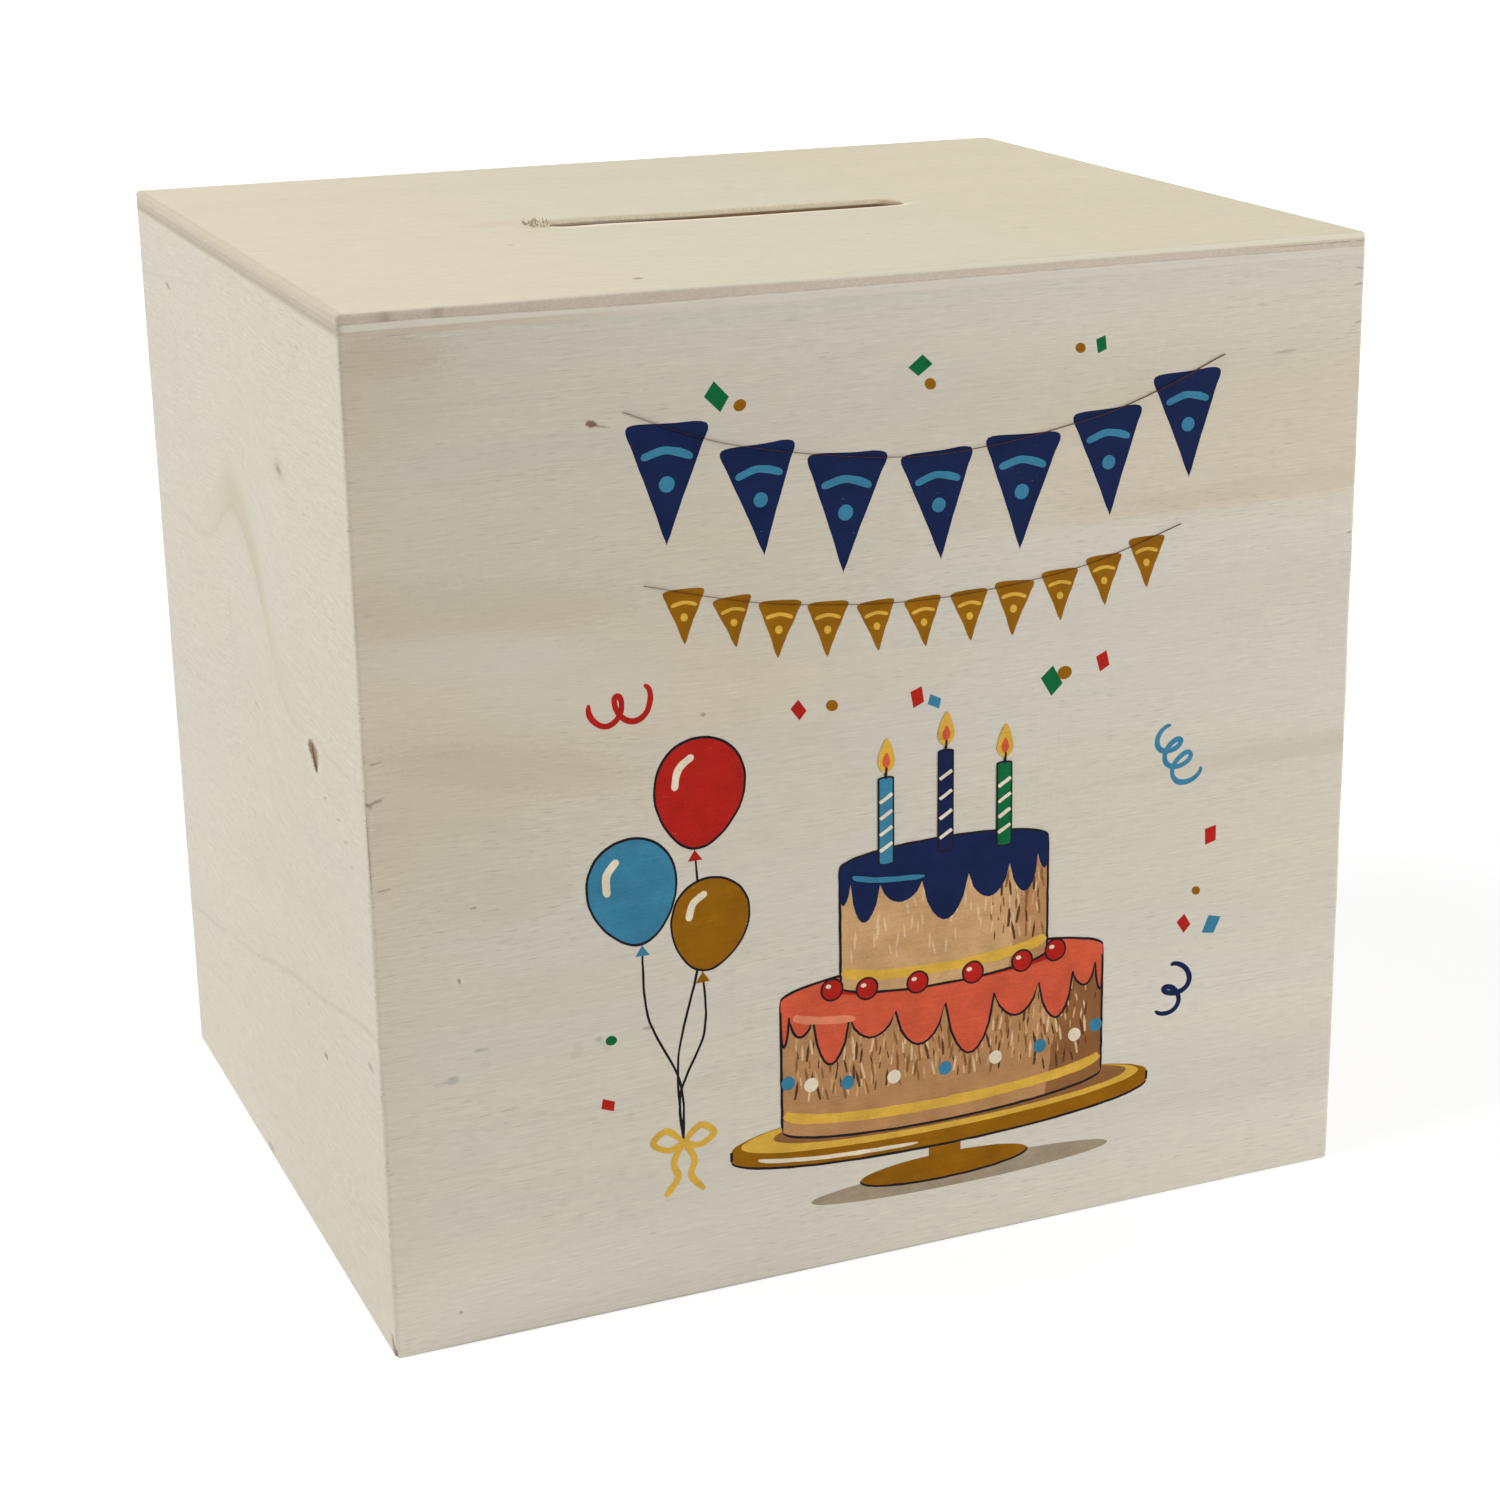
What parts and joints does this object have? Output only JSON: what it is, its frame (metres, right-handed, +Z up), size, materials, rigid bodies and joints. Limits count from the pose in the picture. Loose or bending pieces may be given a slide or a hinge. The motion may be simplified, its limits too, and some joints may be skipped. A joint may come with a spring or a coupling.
{
  "type": "wooden money box",
  "caption": "Square-edged wooden money box with a coin slot in its plywood top and a floor panel that slides out at the back on a pull strip.",
  "frame": {"origin": "middle of the footprint, on the plane that the box stands on", "axes": "+Z up; the decorated front faces -Y; the coin slot and the box's longest side run along X; the floor slides out along +Y"},
  "size_m": [0.21, 0.17, 0.203],
  "materials": {
    "front_board": "bare sanded poplar, printed, matt",
    "side_board": "bare sanded poplar, matt",
    "plywood_top": "bare sanded three-ply, matt",
    "floor_ply": "unsanded thin plywood, matt",
    "strip_wood": "bare sanded poplar, matt"
  },
  "bodies": {
    "box": {"front_wall": "front_board", "left_wall": "side_board", "right_wall": "side_board", "back_wall": "side_board", "top_panel": "plywood_top"},
    "sliding_floor": {"floor_panel": "floor_ply", "pull_strip": "strip_wood"}
  },
  "joints": [
    {"name": "floor_slide", "type": "slide", "parent": "box", "child": "sliding_floor", "axis": [0, 1, 0], "range_m": [0, 0.175]}
  ]
}
